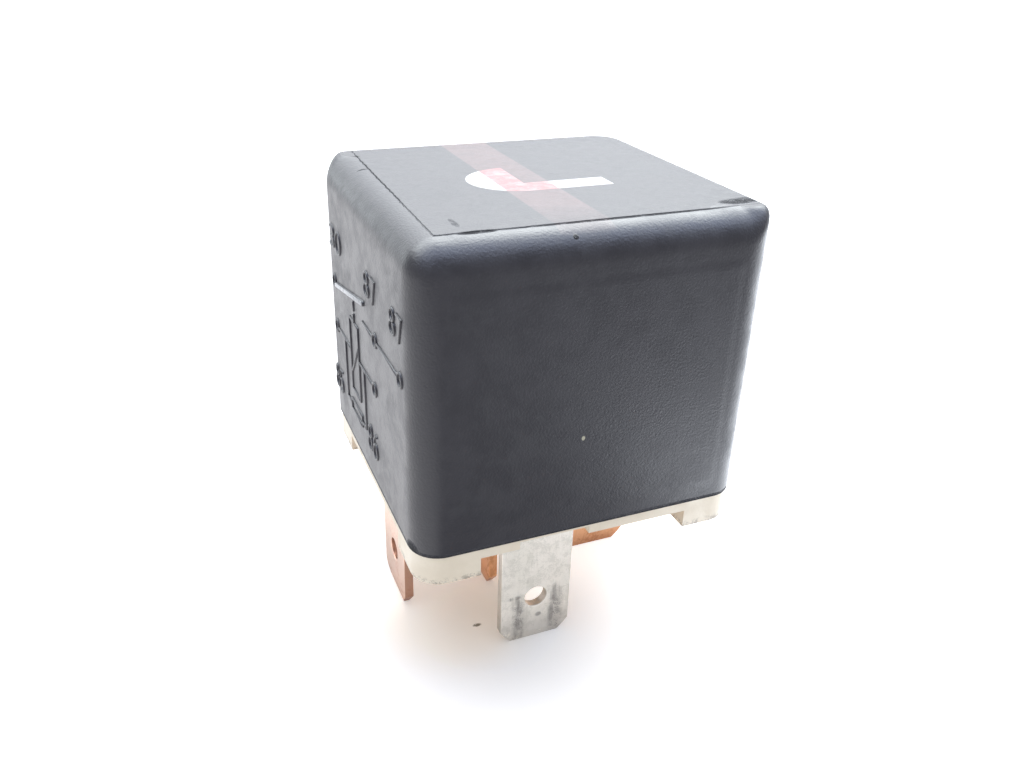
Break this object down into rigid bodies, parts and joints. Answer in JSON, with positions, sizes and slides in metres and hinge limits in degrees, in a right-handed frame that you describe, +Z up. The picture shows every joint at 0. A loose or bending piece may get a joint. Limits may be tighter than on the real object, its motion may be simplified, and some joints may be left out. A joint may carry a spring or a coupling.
{
  "type": "plug-in relay",
  "caption": "Cube-shaped plug-in relay with a dark rounded cover, cream base with corner feet and flat copper-coloured blades below.",
  "frame": {"origin": "centre of the bounding box at its bottom, level with the blades' tips", "axes": "+Z up from the blades' tips to the cover's top; -X the side with the wiring diagram; -Y the front, with a coil blade"},
  "size_m": [0.028, 0.027, 0.0372],
  "materials": {
    "copper": "satin bare copper alloy",
    "tin": "dull tinned brass",
    "cover": "satin moulded polyamide",
    "base": "matte moulded polyester",
    "iron": "zinc-plated iron",
    "armature": "zinc-plated iron",
    "bobbin": "moulded polyamide",
    "wire": "enamelled copper wire",
    "resistor": "lacquered ceramic",
    "lead": "tinned copper wire",
    "leaf": "copper alloy leaf",
    "silver": "silver alloy",
    "braid": "bare copper strands",
    "spring": "drawn steel wire",
    "stop": "tinned brass strip"
  },
  "bodies": {
    "relay": {"cover": "cover", "base": "base", "terminal_30": "copper", "terminal_85": "tin", "terminal_86": "tin", "terminal_87": "copper", "terminal_87_centre": "copper", "yoke": "iron", "core": "iron", "yoke_rivet": "iron", "bobbin": "bobbin", "winding": "wire", "lead_start": "wire", "lead_finish": "wire", "suppressor": "resistor", "suppressor_leads": "lead", "fixed_contact": "silver", "flex_braid": "braid", "return_spring": "spring", "backstop": "stop"},
    "armature": {"armature": "armature", "contact_spring": "leaf", "spring_rivets": "iron", "moving_contact": "silver"}
  },
  "joints": [
    {"name": "armature_pivot", "type": "hinge", "parent": "relay", "child": "armature", "pos_m": [0.0106, 0, 0.0325], "axis": [0, -1, 0], "range_deg": [0, 3.2], "stiffness_Nm_per_rad": 0.02, "springref_deg": -17.19, "deforming": ["flex_braid", "return_spring"]}
  ]
}
